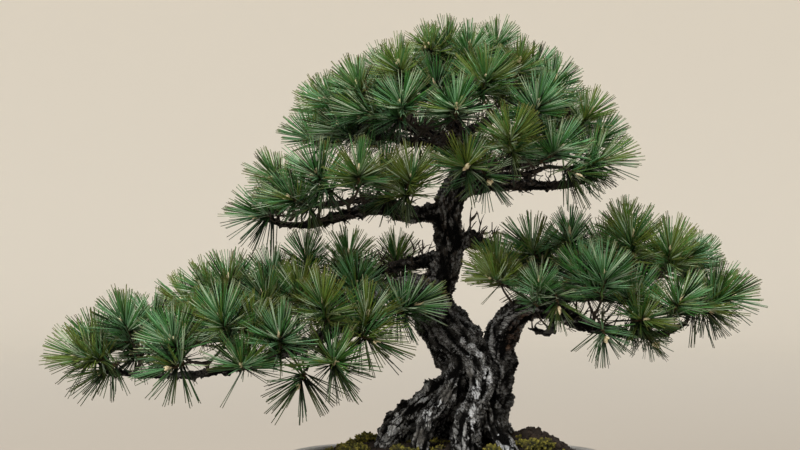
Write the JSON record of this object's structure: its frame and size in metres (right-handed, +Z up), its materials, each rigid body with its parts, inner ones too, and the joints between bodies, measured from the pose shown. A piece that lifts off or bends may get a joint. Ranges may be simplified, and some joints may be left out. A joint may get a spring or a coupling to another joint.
{
  "type": "japanese black pine bonsai",
  "caption": "Miniature black pine with gnarled exposed roots, a second stem and three pads of long needles, in a low footed pot.",
  "frame": {"origin": "centre of the whole object's footprint, at the level of the pot's feet", "axes": "+X to the tree's right seen from the front, along its longest extent; +Y to its back, away from the viewer, along its shortest extent; +Z up"},
  "size_m": [0.928, 0.4032, 0.6638],
  "materials": {
    "pot": "unglazed grey stoneware, satin",
    "screen": "black mesh, matte",
    "soil": "damp granular soil",
    "bark": "rough plated bark",
    "needles": "living needles, satin"
  },
  "bodies": {
    "root": {"pot": "pot", "drain_screen_left": "screen", "drain_screen_right": "screen", "soil": "soil", "tree": "bark", "spray_left_01": "needles", "spray_left_02": "needles", "spray_left_03": "needles", "spray_right_01": "needles", "spray_left_04": "needles", "spray_right_02": "needles", "spray_left_05": "needles", "spray_right_03": "needles", "spray_right_04": "needles", "spray_left_06": "needles", "spray_left_07": "needles", "spray_right_05": "needles", "spray_right_06": "needles", "spray_left_08": "needles", "spray_crown_01": "needles", "spray_right_07": "needles", "spray_left_09": "needles", "spray_crown_02": "needles", "spray_left_10": "needles", "spray_left_11": "needles", "spray_crown_03": "needles", "spray_right_08": "needles", "spray_crown_04": "needles", "spray_crown_05": "needles", "spray_right_09": "needles", "spray_crown_06": "needles", "spray_right_10": "needles", "spray_crown_07": "needles", "spray_left_12": "needles", "spray_crown_08": "needles", "spray_left_13": "needles", "spray_crown_09": "needles", "spray_crown_10": "needles", "spray_crown_11": "needles", "spray_crown_12": "needles", "spray_crown_13": "needles", "spray_crown_14": "needles", "spray_left_14": "needles", "spray_right_11": "needles", "spray_crown_15": "needles", "spray_crown_16": "needles", "spray_crown_17": "needles", "spray_crown_18": "needles", "spray_crown_19": "needles", "spray_crown_20": "needles", "spray_crown_21": "needles"}
  },
  "joints": []
}
